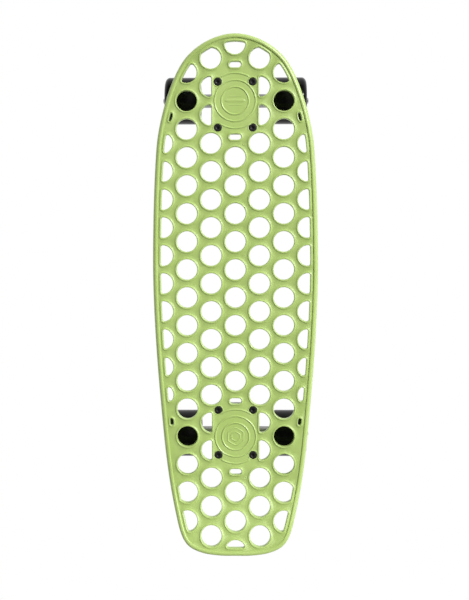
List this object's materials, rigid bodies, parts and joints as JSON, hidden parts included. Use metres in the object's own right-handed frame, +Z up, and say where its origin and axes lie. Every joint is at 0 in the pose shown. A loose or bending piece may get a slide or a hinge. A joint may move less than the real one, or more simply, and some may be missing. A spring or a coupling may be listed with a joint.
{
  "type": "skateboard",
  "caption": "Small plastic cruiser skateboard: a perforated moulded deck with kicked nose and tail, two trucks that steer on bushings, and free-rolling urethane wheels.",
  "frame": {"origin": "on the floor, under the middle of the board's length and width", "axes": "+Y towards the nose, +X towards the right-hand edge, +Z up"},
  "size_m": [0.1966, 0.6168, 0.1054],
  "materials": {
    "green_plastic": "satin moulded",
    "black_urethane": "glossy",
    "bushing_rubber": "satin",
    "cast_aluminium": "raw cast",
    "zinc_steel": "zinc plated",
    "black_hardware": "black oxide"
  },
  "bodies": {
    "deck_assembly": {"deck": "green_plastic", "front_baseplate": "cast_aluminium", "front_pivot_cup": "bushing_rubber", "front_kingpin": "zinc_steel", "front_kingpin_nut": "zinc_steel", "front_upper_cup_washer": "zinc_steel", "front_lower_cup_washer": "zinc_steel", "front_upper_bushing": "bushing_rubber", "front_lower_bushing": "bushing_rubber", "front_deck_screw_1": "black_hardware", "front_deck_screw_2": "black_hardware", "front_deck_screw_3": "black_hardware", "front_deck_screw_4": "black_hardware", "front_lock_nut_1": "black_hardware", "front_lock_nut_2": "black_hardware", "front_lock_nut_3": "black_hardware", "front_lock_nut_4": "black_hardware", "rear_baseplate": "cast_aluminium", "rear_pivot_cup": "bushing_rubber", "rear_kingpin": "zinc_steel", "rear_kingpin_nut": "zinc_steel", "rear_upper_cup_washer": "zinc_steel", "rear_lower_cup_washer": "zinc_steel", "rear_upper_bushing": "bushing_rubber", "rear_lower_bushing": "bushing_rubber", "rear_deck_screw_1": "black_hardware", "rear_deck_screw_2": "black_hardware", "rear_deck_screw_3": "black_hardware", "rear_deck_screw_4": "black_hardware", "rear_lock_nut_1": "black_hardware", "rear_lock_nut_2": "black_hardware", "rear_lock_nut_3": "black_hardware", "rear_lock_nut_4": "black_hardware"},
    "front_hanger_assembly": {"front_hanger": "cast_aluminium", "front_axle": "zinc_steel", "front_left_axle_washer": "zinc_steel", "front_left_axle_nut": "zinc_steel", "front_right_axle_washer": "zinc_steel", "front_right_axle_nut": "zinc_steel"},
    "front_left_wheel_assembly": {"front_left_wheel": "black_urethane", "front_left_inner_bearing": "zinc_steel", "front_left_outer_bearing": "zinc_steel"},
    "front_right_wheel_assembly": {"front_right_wheel": "black_urethane", "front_right_inner_bearing": "zinc_steel", "front_right_outer_bearing": "zinc_steel"},
    "rear_hanger_assembly": {"rear_hanger": "cast_aluminium", "rear_axle": "zinc_steel", "rear_left_axle_washer": "zinc_steel", "rear_left_axle_nut": "zinc_steel", "rear_right_axle_washer": "zinc_steel", "rear_right_axle_nut": "zinc_steel"},
    "rear_left_wheel_assembly": {"rear_left_wheel": "black_urethane", "rear_left_inner_bearing": "zinc_steel", "rear_left_outer_bearing": "zinc_steel"},
    "rear_right_wheel_assembly": {"rear_right_wheel": "black_urethane", "rear_right_inner_bearing": "zinc_steel", "rear_right_outer_bearing": "zinc_steel"}
  },
  "joints": [
    {"name": "front_steer", "type": "hinge", "parent": "deck_assembly", "child": "front_hanger_assembly", "pos_m": [0, 0.2122, 0.0455], "axis": [0, 0.8788, 0.4771], "range_deg": [-10, 10], "stiffness_Nm_per_rad": 40, "deforming": ["front_upper_bushing", "front_lower_bushing"]},
    {"name": "front_left_wheel_spin", "type": "hinge", "parent": "front_hanger_assembly", "child": "front_left_wheel_assembly", "pos_m": [-0.0646, 0.2352, 0.0285], "axis": [1, 0, 0], "continuous": true},
    {"name": "front_right_wheel_spin", "type": "hinge", "parent": "front_hanger_assembly", "child": "front_right_wheel_assembly", "pos_m": [0.0646, 0.2352, 0.0285], "axis": [1, 0, 0], "continuous": true},
    {"name": "rear_steer", "type": "hinge", "parent": "deck_assembly", "child": "rear_hanger_assembly", "pos_m": [0, -0.1514, 0.0455], "axis": [0, -0.8788, 0.4771], "range_deg": [-10, 10], "stiffness_Nm_per_rad": 40, "deforming": ["rear_upper_bushing", "rear_lower_bushing"]},
    {"name": "rear_left_wheel_spin", "type": "hinge", "parent": "rear_hanger_assembly", "child": "rear_left_wheel_assembly", "pos_m": [-0.0646, -0.1744, 0.0285], "axis": [1, 0, 0], "continuous": true},
    {"name": "rear_right_wheel_spin", "type": "hinge", "parent": "rear_hanger_assembly", "child": "rear_right_wheel_assembly", "pos_m": [0.0646, -0.1744, 0.0285], "axis": [1, 0, 0], "continuous": true}
  ]
}
